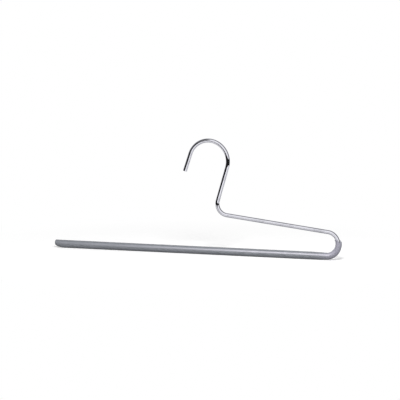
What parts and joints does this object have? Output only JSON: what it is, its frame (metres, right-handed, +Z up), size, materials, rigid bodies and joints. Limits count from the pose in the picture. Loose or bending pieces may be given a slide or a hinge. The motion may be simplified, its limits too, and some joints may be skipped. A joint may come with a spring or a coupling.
{
  "type": "trouser hanger",
  "caption": "Open-ended trouser hanger: a bent chromed steel rod with hook, leaning neck and sloping arm, and a grey non-slip sleeve over its straight lower bar.",
  "frame": {"origin": "seat of the hook: the highest point of the hook's inside, in the middle of the rod's width, where it rests on the rail", "axes": "+Z up as the hanger hangs, +X along the bar towards the closed end bend, +Y along the rail, square to the flat hanger"},
  "size_m": [0.3503, 0.009, 0.1345],
  "materials": {
    "chrome_rod": "bright chrome plating on drawn steel rod",
    "grip_sleeve": "matt grey soft plastic tube"
  },
  "bodies": {
    "root": {"hook_rod": "chrome_rod", "grip_sleeve": "grip_sleeve"}
  },
  "joints": []
}
